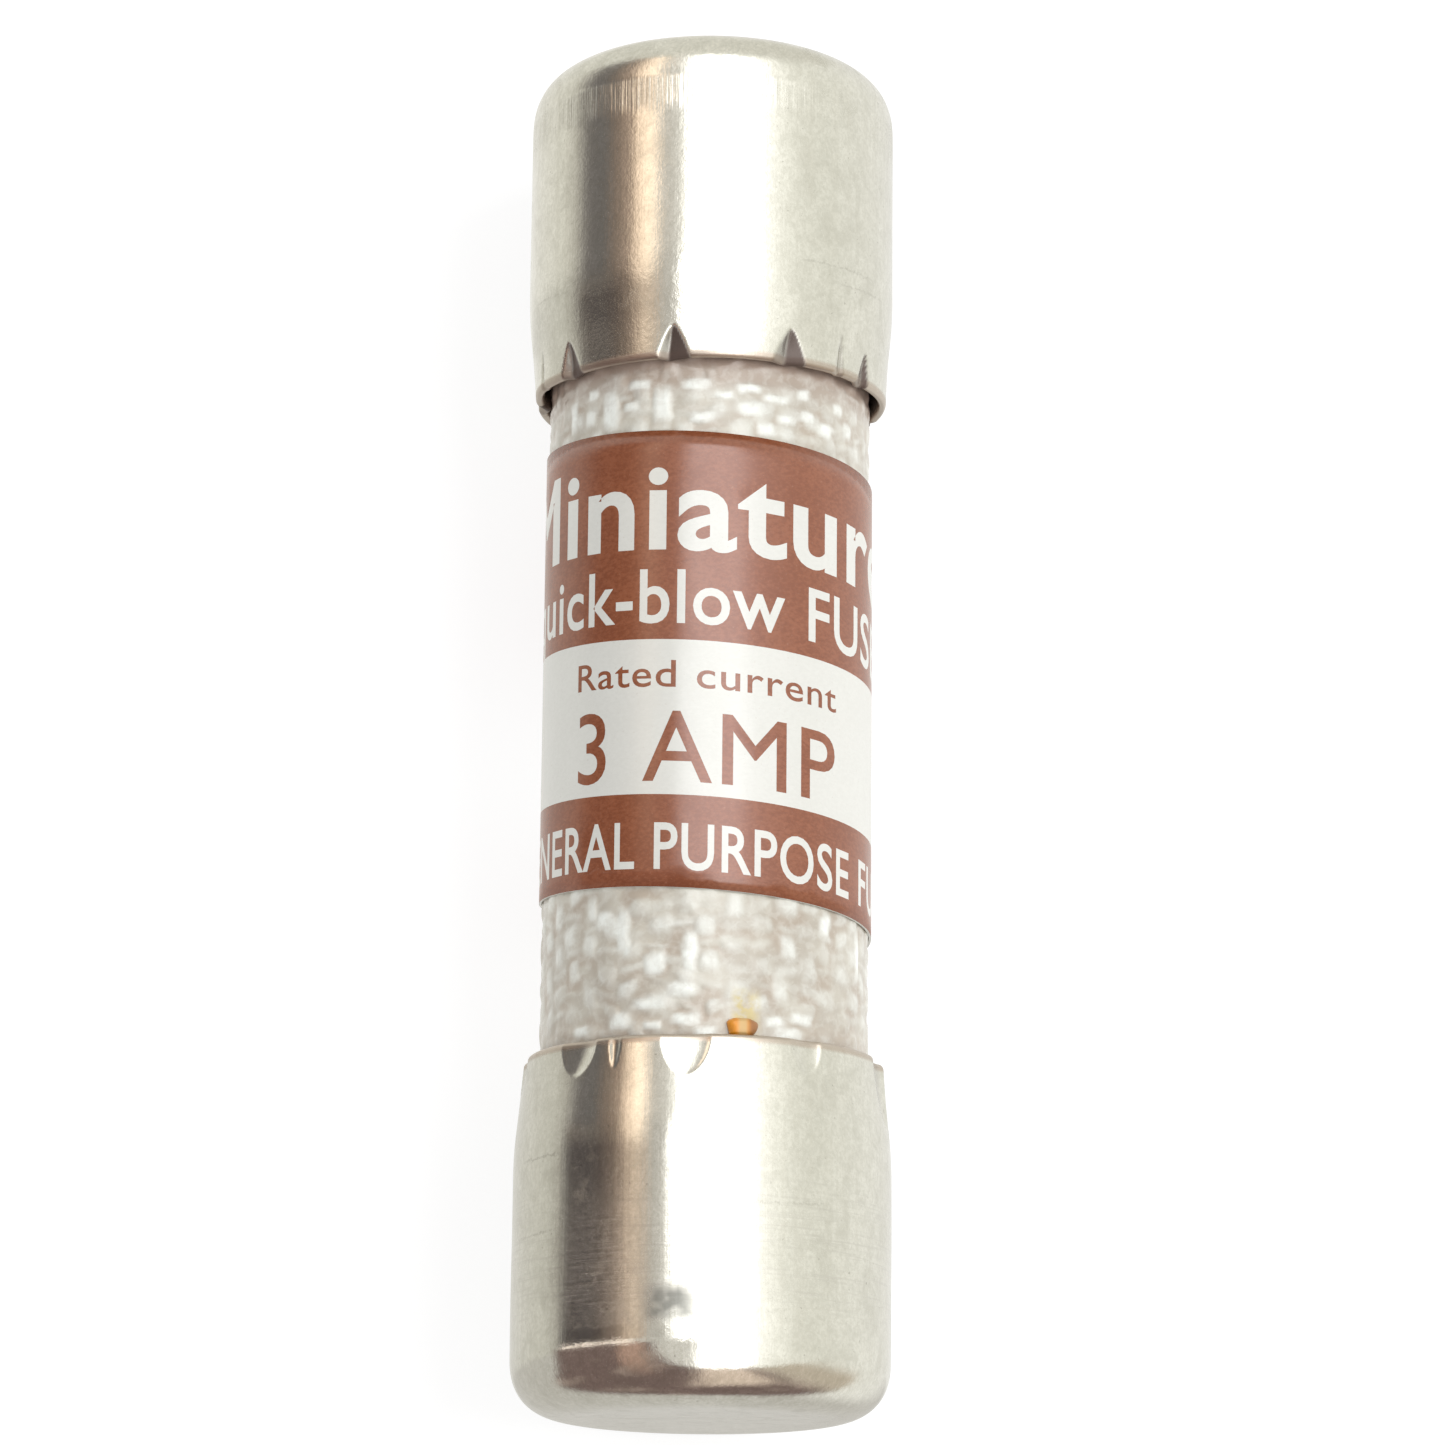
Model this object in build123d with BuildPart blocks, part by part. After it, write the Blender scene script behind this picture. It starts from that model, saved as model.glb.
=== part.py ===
from build123d import *
from math import atan2, cos, hypot, pi, radians, sin, tan
import os

# Midget cartridge fuse, 13/32 in by 1-1/2 in: a sand-filled glass-cloth tube with two crimped ferrules.
#
# Frame, in millimetres: the fuse's axis is Y and the origin is the middle of the fuse on that axis. The printed
# side of the label faces +Z and its text reads upright with +Y up, so the upper ferrule is the one at +Y.
# Angles round the axis are in degrees, from +Z towards +X.

# Envelope of the standard fuse body
OVERALL_LENGTH = 38.1
FERRULE_DIAMETER = 10.3

# Drawn ferrules, crimped in at the mouth
FERRULE_LENGTH = 9.7
FERRULE_WALL = 0.4
CORNER_RADIUS = 1.5
CRIMP_LENGTH = 2.6
CRIMP_BEND_RADIUS = 12.0
MOUTH_DIAMETER = 9.76
MOUTH_WALL = 0.36
LIP_ROUNDING = 0.12

# Staked dents round each mouth: width and depth at the mouth, and length towards the closed end
UPPER_STAKE = {"width": 0.95, "depth": 0.2, "length": 1.4}
UPPER_STAKE_ANGLES = (-133, -93, -54, -13, 27, 63, 107, 147, 187)
LOWER_STAKE = {"width": 1.35, "depth": 0.2, "length": 1.2}
LOWER_STAKE_ANGLES = (-163, -123, -83, -42, -3.5, 36, 78, 117, 157)
DENT_OVERRUN = 1.15
DENT_TIP_LIFT = 0.03

# Glass-cloth tube
TUBE_DIAMETER = 9.0
TUBE_WALL = 1.3
TUBE_EDGE_BREAK = 0.2

# Label, wrapped slightly askew, with a narrow gap between its ends at the back
LABEL_THICKNESS = 0.065
LABEL_HEIGHT = 12.7
LABEL_CENTRE = 0.95
LABEL_SKEW = 3.6
LABEL_GAP = 0.5

# Fibre washers on the ends of the tube, slotted for the link
WASHER_DIAMETER = 8.2
WASHER_THICKNESS = 0.8
WASHER_EDGE_BREAK = 0.15
SLOT_WIDTH = 1.6
SLOT_HEIGHT = 0.5

# Solder that floods the closed end of each ferrule
SOLDER_DIAMETER = 6.2
SOLDER_THICKNESS = 0.4
SOLDER_EDGE = 0.25

# Notched fuse link, folded over on the washers, both tabs towards +Z
LINK_WIDTH = 1.2
LINK_THICKNESS = 0.1
LINK_TAB = 2.2
NOTCH_COUNT = 5
NOTCH_PITCH = 5.4
NOTCH_RADIUS = 0.45

# Bead of cement squeezed out at the lower mouth
BEAD_ANGLE = 13.0
BEAD_WIDTH = 0.8
BEAD_STAND = 0.24
BEAD_REACH = 0.5

# Gap left between curved faces that touch
SKIN_GAP = 0.01

HALF_LENGTH = OVERALL_LENGTH / 2
FERRULE_RADIUS = FERRULE_DIAMETER / 2
MOUTH_RADIUS = MOUTH_DIAMETER / 2
MOUTH_Y = HALF_LENGTH - FERRULE_LENGTH
CUP_FLOOR_Y = HALF_LENGTH - FERRULE_WALL
WASHER_FACE_Y = CUP_FLOOR_Y - SOLDER_THICKNESS
TUBE_END_Y = WASHER_FACE_Y - WASHER_THICKNESS
TUBE_RADIUS = TUBE_DIAMETER / 2
BORE_RADIUS = TUBE_RADIUS - TUBE_WALL
UPPER = 1
LOWER = -1


def round_axis(radius, y, angle):
    """The point at this radius and angle round the axis, y along it."""
    return Vector(radius * sin(radians(angle)), y, radius * cos(radians(angle)))


def cross_section(y):
    """Plane across the axis at y, its normal +Y."""
    return Plane(origin=(0, y, 0), x_dir=(1, 0, 0), z_dir=(0, 1, 0))


def end_edges(part, end):
    """The round edges of a part that lie furthest towards one end of the fuse."""
    return part.edges().filter_by(GeomType.CIRCLE).group_by(Axis.Y)[-1 if end == UPPER else 0]


def punch(end, angle, width, depth, length):
    """Cut a dent with a leaning cone, its tip just off the crimp and its lowest line this deep at the mouth."""
    tip_rise = (FERRULE_RADIUS - MOUTH_RADIUS) * length / CRIMP_LENGTH + DENT_TIP_LIFT
    floor_angle = atan2(tip_rise + depth, length)
    bite_angle = floor_angle - atan2(tip_rise, length)
    to_mouth = hypot(length, tip_rise)
    to_corner = hypot(to_mouth, width / 2)
    half_angle = atan2(to_corner - to_mouth * cos(bite_angle), to_mouth * sin(bite_angle))
    lean = half_angle - floor_angle
    height = DENT_OVERRUN * to_corner
    tip = round_axis(MOUTH_RADIUS + tip_rise, end * (MOUTH_Y + length), angle)
    towards_tip = round_axis(-sin(lean), end * cos(lean), angle)
    with Locations(Plane(origin=tip, z_dir=towards_tip)):
        Cone(
            height * tan(half_angle),
            0,
            height,
            align=(Align.CENTER, Align.CENTER, Align.MAX),
            mode=Mode.SUBTRACT,
        )


def ferrule(end, angles, stake):
    """A deep-drawn cup that closes one end of the fuse, crimped on the tube and dented round its mouth."""
    closed = end * HALF_LENGTH
    cup_floor = end * CUP_FLOOR_Y
    crimp = end * (MOUTH_Y + CRIMP_LENGTH)
    mouth = end * MOUTH_Y
    inner_radius = FERRULE_RADIUS - FERRULE_WALL
    with BuildPart() as cup:
        with BuildSketch(Plane.XY):
            with BuildLine():
                outside = FilletPolyline(
                    (0, closed),
                    (FERRULE_RADIUS, closed),
                    (FERRULE_RADIUS, crimp),
                    (MOUTH_RADIUS, mouth),
                    radius=[CORNER_RADIUS, CRIMP_BEND_RADIUS],
                )
                lip = Line(outside @ 1, (MOUTH_RADIUS - MOUTH_WALL, mouth))
                inside = FilletPolyline(
                    lip @ 1,
                    (inner_radius, crimp),
                    (inner_radius, cup_floor),
                    (0, cup_floor),
                    radius=[CRIMP_BEND_RADIUS, CORNER_RADIUS - FERRULE_WALL],
                )
                Line(inside @ 1, outside @ 0)
            make_face()
        revolve(axis=Axis.Y)
        fillet(end_edges(cup, -end), LIP_ROUNDING)
        for angle in angles:
            punch(end, angle, **stake)
    return cup


def washer(end):
    """A fibre disc on one end of the tube, with a slot that the link passes through."""
    with BuildPart() as disc:
        with BuildSketch(cross_section(end * TUBE_END_Y)):
            Circle(WASHER_DIAMETER / 2)
            SlotOverall(SLOT_WIDTH, SLOT_HEIGHT, mode=Mode.SUBTRACT)
        extrude(amount=end * WASHER_THICKNESS)
        rim = end_edges(disc, end).sort_by(SortBy.RADIUS)[-1]
        chamfer(rim, WASHER_EDGE_BREAK)
    return disc


def solder(end, link):
    """The pool of solder between a washer and the floor of its ferrule, set round the link's tab."""
    with BuildPart() as pool:
        with BuildSketch(cross_section(end * WASHER_FACE_Y)):
            Circle(SOLDER_DIAMETER / 2)
        extrude(amount=end * SOLDER_THICKNESS)
        fillet(end_edges(pool, -end), SOLDER_EDGE)
        add(link.part, mode=Mode.SUBTRACT)
    return pool


upper_ferrule = ferrule(UPPER, UPPER_STAKE_ANGLES, UPPER_STAKE)
lower_ferrule = ferrule(LOWER, LOWER_STAKE_ANGLES, LOWER_STAKE)

with BuildPart() as tube:
    with BuildSketch(cross_section(0)):
        Circle(TUBE_RADIUS)
        Circle(BORE_RADIUS, mode=Mode.SUBTRACT)
    extrude(amount=TUBE_END_Y, both=True)
    outer_rims = tube.edges().filter_by(GeomType.CIRCLE).group_by(SortBy.RADIUS)[-1]
    chamfer(outer_rims, TUBE_EDGE_BREAK)

with BuildPart() as label:
    label_radius = TUBE_RADIUS + SKIN_GAP + LABEL_THICKNESS / 2
    one_turn = 2 * pi * label_radius
    lead = one_turn * tan(radians(LABEL_SKEW))
    climb = lead * (1 - LABEL_GAP / one_turn)
    seam = Plane(origin=(0, LABEL_CENTRE - climb / 2, 0), x_dir=(0, 0, -1), z_dir=(0, 1, 0))
    wrap = Helix(lead, climb, label_radius, lefthand=True, mode=Mode.PRIVATE).moved(Location(seam))
    with BuildSketch(Plane(origin=wrap @ 0, x_dir=(0, 1, 0), z_dir=(1, 0, 0))):
        Rectangle(LABEL_HEIGHT, LABEL_THICKNESS)
    sweep(path=wrap, is_frenet=True)

with BuildPart() as fuse_link:
    tab_y = WASHER_FACE_Y + LINK_THICKNESS / 2
    with BuildSketch(Plane.YZ):
        with BuildLine():
            FilletPolyline(
                (-tab_y, LINK_TAB),
                (-tab_y, 0),
                (tab_y, 0),
                (tab_y, LINK_TAB),
                radius=LINK_THICKNESS,
            )
        trace(line_width=LINK_THICKNESS)
    extrude(amount=LINK_WIDTH / 2, both=True)
    for side in (-1, 1):
        with Locations((side * LINK_WIDTH / 2, 0, 0)):
            with GridLocations(0, NOTCH_PITCH, 1, NOTCH_COUNT):
                Cylinder(NOTCH_RADIUS, 2 * LINK_THICKNESS, mode=Mode.SUBTRACT)

upper_washer = washer(UPPER)
lower_washer = washer(LOWER)
upper_solder = solder(UPPER, fuse_link)
lower_solder = solder(LOWER, fuse_link)

with BuildPart() as sand_filler:
    with BuildSketch(cross_section(0)):
        Circle(BORE_RADIUS - SKIN_GAP)
    extrude(amount=TUBE_END_Y, both=True)
    add(fuse_link.part, mode=Mode.SUBTRACT)

with BuildPart() as cement_bead:
    ball_radius = (BEAD_WIDTH**2 / 4 + BEAD_STAND**2) / (2 * BEAD_STAND)
    bead_y = BEAD_REACH - BEAD_WIDTH / 2 - MOUTH_Y
    with Locations(round_axis(TUBE_RADIUS + BEAD_STAND - ball_radius, bead_y, BEAD_ANGLE)):
        Sphere(ball_radius)
    with BuildSketch(cross_section(-HALF_LENGTH)):
        Circle(TUBE_RADIUS + SKIN_GAP)
    extrude(amount=OVERALL_LENGTH, mode=Mode.SUBTRACT)
    with BuildSketch(cross_section(-MOUTH_Y)):
        Circle(FERRULE_RADIUS)
    extrude(amount=-FERRULE_LENGTH, mode=Mode.SUBTRACT)

pieces = {
    "upper_ferrule": upper_ferrule,
    "lower_ferrule": lower_ferrule,
    "tube": tube,
    "label": label,
    "upper_washer": upper_washer,
    "lower_washer": lower_washer,
    "fuse_link": fuse_link,
    "upper_solder": upper_solder,
    "lower_solder": lower_solder,
    "sand_filler": sand_filler,
    "cement_bead": cement_bead,
}
os.makedirs("parts", exist_ok=True)
for name, piece in pieces.items():
    piece.part.label = name
    export_step(piece.part, f"parts/{name}.step")
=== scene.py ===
import math

import bpy
import numpy as np
from mathutils import Matrix, Vector
from mathutils.geometry import delaunay_2d_cdt


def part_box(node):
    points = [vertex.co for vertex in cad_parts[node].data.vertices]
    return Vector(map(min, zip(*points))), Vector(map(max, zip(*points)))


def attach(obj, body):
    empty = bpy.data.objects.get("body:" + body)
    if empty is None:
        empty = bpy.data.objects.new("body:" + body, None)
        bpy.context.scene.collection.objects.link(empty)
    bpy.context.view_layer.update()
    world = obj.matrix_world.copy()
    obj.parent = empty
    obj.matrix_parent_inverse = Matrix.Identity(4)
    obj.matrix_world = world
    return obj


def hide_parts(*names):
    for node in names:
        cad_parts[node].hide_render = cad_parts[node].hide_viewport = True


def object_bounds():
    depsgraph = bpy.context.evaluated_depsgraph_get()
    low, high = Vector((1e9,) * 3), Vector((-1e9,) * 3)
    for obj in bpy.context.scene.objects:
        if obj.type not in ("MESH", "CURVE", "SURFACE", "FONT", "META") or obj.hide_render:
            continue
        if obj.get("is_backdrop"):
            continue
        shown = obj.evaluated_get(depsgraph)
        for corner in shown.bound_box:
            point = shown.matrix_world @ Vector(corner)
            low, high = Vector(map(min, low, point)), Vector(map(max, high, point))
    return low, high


# A small cartridge fuse that lies along Y. Everything is built in millimetres, and scaled to metres when
# a mesh is made. Angles round the axis run from +Z towards +X. "Along" is the distance from a ferrule's
# mouth towards its closed end.

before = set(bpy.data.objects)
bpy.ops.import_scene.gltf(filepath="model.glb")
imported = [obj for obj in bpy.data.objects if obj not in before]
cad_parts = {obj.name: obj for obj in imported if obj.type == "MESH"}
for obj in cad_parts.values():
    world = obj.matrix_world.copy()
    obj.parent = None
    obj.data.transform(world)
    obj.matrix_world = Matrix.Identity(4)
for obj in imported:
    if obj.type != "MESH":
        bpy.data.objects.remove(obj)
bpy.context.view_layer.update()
scene = bpy.context.scene
chance = np.random.default_rng(41)

MM = 0.001
TURN = 2 * math.pi
TINY = 1e-6


def box_mm(node):
    low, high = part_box(node)
    return [c / MM for c in low], [c / MM for c in high]


# Sizes read from the CAD nodes
upper_low, upper_high = box_mm("upper_ferrule")
tube_high = box_mm("tube")[1]
label_high = box_mm("label")[1]
FERRULE_RADIUS = upper_high[0]
CLOSED_Y = upper_high[1]
MOUTH_Y = upper_low[1]
FERRULE_LENGTH = CLOSED_Y - MOUTH_Y
TUBE_RADIUS = tube_high[0]
TUBE_END_Y = tube_high[1]
LABEL_RADIUS = label_high[2]

# Ferrule shape. The corner is a superellipse, a little fuller than an arc.
WALL = 0.4
CORNER_WIDTH = 1.8
CORNER_LENGTH = 1.7
CORNER_POWER = 0.8
INNER_CORNER = 1.1
MOUTH_RADIUS = 4.88
MOUTH_WALL = 0.27
CRIMP_LENGTH = 2.6
CRIMP_BLEND = 0.62
LIP_DEPTH = 0.18
LIP_CLEAR = 0.005
LIP_LIFT_LENGTH = 1.7
END_DISH = 0.03
RIPPLE_DEPTH = 0.012
STEPS_ROUND = 600
# Rings are closer together nearer the mouth
FINE_FROM = 3.3
FINEST_FROM = 2.0
INNER_FINE_TO = 2.6
INNER_COARSE_FROM = 3.4
# Where the closed end's rings stop and a fan of triangles closes it, outside and inside
OUTER_FAN = 0.35
INNER_FAN = 0.5

# Tube and label
BORE_RADIUS = 3.2
LABEL_THICKNESS = 0.065
LABEL_HEIGHT = 12.7
LABEL_CENTRE = 0.95
LABEL_SKEW = math.tan(math.radians(3.6))
LABEL_GAP = 0.5


# ---------------------------------------------------------------- mesh helpers


def smooth_step(low, high, x):
    t = np.clip((x - low) / (high - low), 0, 1)
    return t * t * (3 - 2 * t)


def steps_after(start, end, count):
    """Evenly spaced values from start to end, without start itself."""
    return np.linspace(start, end, count)[1:]


def round_axis(radius, y, angle):
    """Points at this radius, y and angle (radians) round the axis."""
    return np.stack([radius * np.sin(angle), y + 0 * angle, radius * np.cos(angle)], axis=-1)


def make_mesh(name, points, faces):
    """A smooth-shaded object from points in millimetres, faces turned outwards."""
    points = np.asarray(points, float).reshape(-1, 3)
    corner = [points[[f[k] for f in faces]] for k in range(3)]
    last = points[[f[-1] for f in faces]]
    volume = np.einsum("ij,ij->i", corner[0], np.cross(corner[1], corner[2])).sum()
    volume += np.einsum("ij,ij->i", corner[0], np.cross(corner[2], last)).sum()
    if volume < 0:
        faces = [f[::-1] for f in faces]
    mesh = bpy.data.meshes.new(name)
    mesh.from_pydata((points * MM).tolist(), [], faces)
    mesh.shade_smooth()
    made = bpy.data.objects.new(name, mesh)
    scene.collection.objects.link(made)
    return made


def skin(name, rows, poles):
    """A closed surface from rows of points that each run once round. With poles, a point closes each end;
    without, the last row joins the first."""
    count, steps = rows.shape[:2]
    index = np.arange(count * steps).reshape(count, steps)
    after = np.roll(index, -1, axis=1)
    if poles is None:
        below, below_after = np.roll(index, -1, axis=0), np.roll(after, -1, axis=0)
    else:
        below, below_after = index[1:], after[1:]
        index, after = index[:-1], after[:-1]
    faces = np.stack([index, after, below_after, below], axis=-1).reshape(-1, 4).tolist()
    points = rows.reshape(-1, 3)
    if poles is not None:
        first, last = len(points), len(points) + 1
        points = np.vstack([points, poles])
        ring = np.arange(steps)
        ring_after = np.roll(ring, -1)
        base = (count - 1) * steps
        faces += np.stack([ring_after, ring, ring * 0 + first], axis=-1).tolist()
        faces += np.stack([base + ring, base + ring_after, ring * 0 + last], axis=-1).tolist()
    return make_mesh(name, points, faces)


def keep_values(made, name, values):
    """Store one number per point for a material to read."""
    layer = made.data.attributes.new(name, "FLOAT", "POINT")
    layer.data.foreach_set("value", np.asarray(values, np.float32).ravel())


def waves(angle, y, count, longest, shortest, seed):
    """Smooth random waviness from -1 to 1, whole round the axis."""
    draw = np.random.default_rng(seed)
    total = np.zeros(np.broadcast(angle, y).shape)
    for _ in range(count):
        length = draw.uniform(shortest, longest)
        lean = draw.uniform(0, TURN)
        around = round(TURN * TUBE_RADIUS / length * math.cos(lean))
        total = total + np.sin(around * angle + TURN / length * math.sin(lean) * y + draw.uniform(0, TURN))
    return total / count


# ---------------------------------------------------------------- ferrules

# Stakes: angle in degrees, width, length, depth, and how far the deepest line leans from the middle (-1 to 1)
UPPER_STAKES = [
    (-133, 0.9, 0.95, 0.2, -0.3),
    (-93, 0.95, 1.0, 0.22, -0.2),
    (-52, 1.0, 1.0, 0.2, -0.35),
    (-12, 1.05, 0.95, 0.24, -0.4),
    (26.5, 1.15, 1.0, 0.22, -0.15),
    (46.5, 0.42, 1.2, 0.08, 0.1),
    (60, 0.75, 0.95, 0.18, 0.35),
    (107, 0.9, 0.95, 0.2, -0.3),
    (147, 0.95, 0.9, 0.21, 0.3),
    (187, 0.9, 1.0, 0.2, -0.4),
    (-70, 0.3, 1.2, 0.06, 0.4),
]
STAKE_TAPER = 0.75
STAKE_TIP = 0.55
# A stake shallower than this is a nick, which gets less painted shade
NICK_DEPTH = 0.1
# Scoops: angle in degrees, width, length, depth, and how much deeper one side is than the other
LOWER_SCOOPS = [
    (-163, 1.2, 0.95, 0.13, 0.3),
    (-123, 1.25, 1.0, 0.14, -0.2),
    (-83, 1.2, 1.0, 0.13, 0.3),
    (-43, 1.25, 1.0, 0.13, 0.45),
    (-28.5, 0.34, 0.9, 0.05, 0.0),
    (-5.5, 1.35, 1.15, 0.095, 0.3),
    (34, 1.0, 1.0, 0.1, 0.5),
    (78, 1.5, 1.9, 0.22, 0.0),
    (117, 1.2, 0.95, 0.14, -0.3),
    (157, 1.25, 1.0, 0.13, 0.2),
]
SCOOP_RIM = 0.016
# How far the lip stands off between one stake or scoop, at this angle, and the next
UPPER_LOBES = {
    -133: 0.05,
    -93: 0.11,
    -52: 0.02,
    -12: 0.03,
    26.5: 0.03,
    60: 0.08,
    107: 0.07,
    147: 0.03,
    187: 0.06,
}
LOWER_LOBES = {
    -163: 0.05,
    -123: 0.04,
    -83: 0.03,
    -43: 0.02,
    -5.5: 0.02,
    34: 0.03,
    78: 0.06,
    117: 0.03,
    157: 0.04,
}


def arc_from(angle, degrees, radius):
    """Signed distance round the axis from a direction."""
    return ((angle - math.radians(degrees) + math.pi) % TURN - math.pi) * radius


def stake_outline(angle, along, degrees, width, length):
    """(distance from the stake's middle, its half width here, the share of its length that is left)."""
    across = arc_from(angle, degrees, MOUTH_RADIUS)
    left = np.clip(1 - along / length, 0, 1)
    return across, width / 2 * left**STAKE_TAPER + TINY, left


def stake_dents(angle, along, stakes):
    """Depth of V-shaped stakes, sharp towards the closed end."""
    depth = np.zeros(np.broadcast(angle, along).shape)
    for degrees, width, length, deepest, lean in stakes:
        across, half, left = stake_outline(angle, along, degrees, width, length)
        middle = lean * half
        right_slope = (across - middle) / (half - middle)
        left_slope = (middle - across) / (half + middle)
        slope = np.where(across > middle, right_slope, left_slope)
        floor_line = deepest * (1 - np.clip(1 - left / STAKE_TIP, 0, 1) ** 2) * (0.75 + 0.25 * left)
        depth = np.maximum(depth, floor_line * np.clip(1 - slope, 0, 1) ** 1.15)
    return depth


def stake_painted_shade(angle, along, stakes):
    """How much painted shade darkens the stakes, from 0 to 1, most of it right of the deepest line."""
    painted_shade = np.zeros(np.broadcast(angle, along).shape)
    for degrees, width, length, deepest, lean in stakes:
        across, half, left = stake_outline(angle, along, degrees, width, length)
        inside = smooth_step(1.0, 0.8, np.abs(across) / half)
        right = smooth_step(-0.15, 0.15, across / half - lean)
        here = inside * (0.4 + 0.6 * right) * smooth_step(0, 0.12, left)
        painted_shade = np.maximum(painted_shade, here * (1.0 if deepest > NICK_DEPTH else 0.35))
    return painted_shade


def scoop_dents(angle, along, scoops):
    """Depth of rounder scoops, each with a low rim thrown up round it."""
    depth = np.zeros(np.broadcast(angle, along).shape)
    for degrees, width, length, deepest, lean in scoops:
        across = arc_from(angle, degrees, MOUTH_RADIUS) / (width / 2)
        edge = np.abs(across) ** 1.7 + (along / length) ** 2
        inside = np.clip(1 - edge, 0, 1)
        tilt = 1 + lean * np.clip(across, -1, 1)
        depth = np.maximum(depth, deepest * inside**0.7 * tilt)
        depth = depth - SCOOP_RIM * np.exp(-(((edge - 1.15) / 0.14) ** 2))
    return depth


def scoop_painted_shade(angle, along, scoops):
    """A little painted shade along the deepest part of each scoop."""
    return smooth_step(0.08, 0.18, scoop_dents(angle, along, scoops)) * 0.2


def lobes(angle, along, table):
    """How far the lip stands off here."""
    lift = np.zeros(np.broadcast(angle, along).shape)
    starts = sorted(table)
    degrees = np.degrees(angle)
    for start, end in zip(starts, starts[1:] + [starts[0] + 360]):
        part = ((degrees - start) % 360) / (end - start)
        bump = np.where(part < 1, np.sin(np.pi * np.clip(part, 0, 1)) ** 2, 0)
        lift = lift + table[start] * bump
    return lift * np.clip(1 - along / LIP_LIFT_LENGTH, 0, 1) ** 2


def outer_radius(along):
    """The ferrule's outside, from its mouth to where its corner starts."""
    slope = (FERRULE_RADIUS - MOUTH_RADIUS) / CRIMP_LENGTH
    x = CRIMP_LENGTH - along
    bend = np.where(x > CRIMP_BLEND, x, np.clip(x + CRIMP_BLEND, 0, None) ** 2 / (4 * CRIMP_BLEND))
    return FERRULE_RADIUS - slope * bend


def ferrule(name, end, marks, dents, painted_shade, table, seed):
    """A drawn cup as one closed skin: closed end, corner, barrel, crimp, rolled lip, and the same inside."""
    angle = np.arange(STEPS_ROUND) * TURN / STEPS_ROUND
    rows, shade_rows = [], []

    def radius_outside(along):
        base = outer_radius(along) - dents(angle, along, marks) + lobes(angle, along, table)
        uneven = 1 + waves(angle, along, count=7, longest=9, shortest=2.5, seed=seed)
        return np.minimum(base - RIPPLE_DEPTH * uneven * smooth_step(0, 1.5, along), FERRULE_RADIUS)

    def radius_inside(along):
        wall = MOUTH_WALL + (WALL - MOUTH_WALL) * smooth_step(0.6, 2.4, along)
        loose = 0.5 * lobes(angle, along, table)
        return np.maximum(radius_outside(along) - wall + loose, TUBE_RADIUS + LIP_CLEAR)

    # Each ring also keeps how much painted shade its points get
    def ring(radius, along, least_shade=0.0):
        shade_rows.append(np.maximum(painted_shade(angle, along, marks), least_shade))
        rows.append(round_axis(radius, end * (MOUTH_Y + along), angle))

    corner_start = FERRULE_LENGTH - CORNER_LENGTH
    flat_radius = FERRULE_RADIUS - CORNER_WIDTH
    for radius in np.linspace(OUTER_FAN, flat_radius, 10):
        ring(radius, FERRULE_LENGTH - END_DISH * (1 - (radius / flat_radius) ** 2))
    short_of_full = FERRULE_RADIUS - radius_outside(corner_start)
    for turn in steps_after(math.pi / 2, 0, 30):
        radius = FERRULE_RADIUS - CORNER_WIDTH * (1 - math.cos(turn) ** CORNER_POWER)
        shrink = short_of_full * (1 - turn / (math.pi / 2))
        ring(radius - shrink, corner_start + CORNER_LENGTH * math.sin(turn) ** CORNER_POWER)
    for start, stop, count in (
        (corner_start, FINE_FROM, 30),
        (FINE_FROM, FINEST_FROM, 12),
        (FINEST_FROM, LIP_DEPTH, 44),
    ):
        for along in steps_after(start, stop, count):
            ring(radius_outside(along), along)
    outside, inside = radius_outside(LIP_DEPTH), radius_inside(LIP_DEPTH)
    for part in np.linspace(0, 1, 10)[1:-1]:
        radius = outside + (inside - outside) * (0.5 - 0.5 * math.cos(math.pi * part))
        ring(radius, LIP_DEPTH * (1 - math.sin(math.pi * part)))
    # The inside of the mouth, between ferrule and tube, gets strong painted shade
    for along in np.linspace(LIP_DEPTH, INNER_FINE_TO, 14):
        ring(radius_inside(along), along, least_shade=0.8)
    inner_radius = FERRULE_RADIUS - WALL
    inner_start = FERRULE_LENGTH - WALL - INNER_CORNER
    for along in np.linspace(INNER_COARSE_FROM, inner_start, 4):
        ring(np.minimum(radius_inside(along), inner_radius), along)
    for turn in steps_after(0, math.pi / 2, 8):
        ring(inner_radius - INNER_CORNER * (1 - math.cos(turn)), inner_start + INNER_CORNER * math.sin(turn))
    for radius in steps_after(inner_radius - INNER_CORNER, INNER_FAN, 4):
        ring(radius, FERRULE_LENGTH - WALL)
    poles = [(0, end * (CLOSED_Y - END_DISH), 0), (0, end * (CLOSED_Y - WALL), 0)]
    made = skin(name, np.stack(rows), poles)
    # The painted shade goes to the nickel material as one number per point
    keep_values(made, "painted_shade", np.append(np.stack(shade_rows), [0, 0]))
    return made


upper_ferrule = ferrule("upper_ferrule_shell", 1, UPPER_STAKES, stake_dents, stake_painted_shade, UPPER_LOBES, seed=5)
lower_ferrule = ferrule("lower_ferrule_shell", -1, LOWER_SCOOPS, scoop_dents, scoop_painted_shade, LOWER_LOBES, seed=8)

# ---------------------------------------------------------------- glass-cloth tube

AXIAL_YARNS = 40
HOOP_PITCH = 0.55
RELIEF = 0.05
# The cloth shows between the mouths and the label, and only there are the rows close together
CLOTH_END_Y = 9.6
UNDER_LABEL = (6.2, -3.9)
FINE_ROW = 0.06
COARSE_ROW = 0.6
HIDDEN_ROWS = (16, 13, 10.5)
# What differs from crossing to crossing: brightness, width, height, place and lean of the yarn on top
CROSSINGS = (AXIAL_YARNS, 120)
MIDDLE_ROW = 60
YARN_SHADE = chance.uniform(0.0, 1.0, CROSSINGS)
YARN_WIDE = chance.uniform(0.30, 0.44, CROSSINGS)
YARN_TALL = chance.uniform(0.36, 0.66, CROSSINGS)
YARN_SHIFT = chance.uniform(-0.16, 0.16, (2, *CROSSINGS))
YARN_LEAN = chance.normal(0, 0.18, CROSSINGS)
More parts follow.
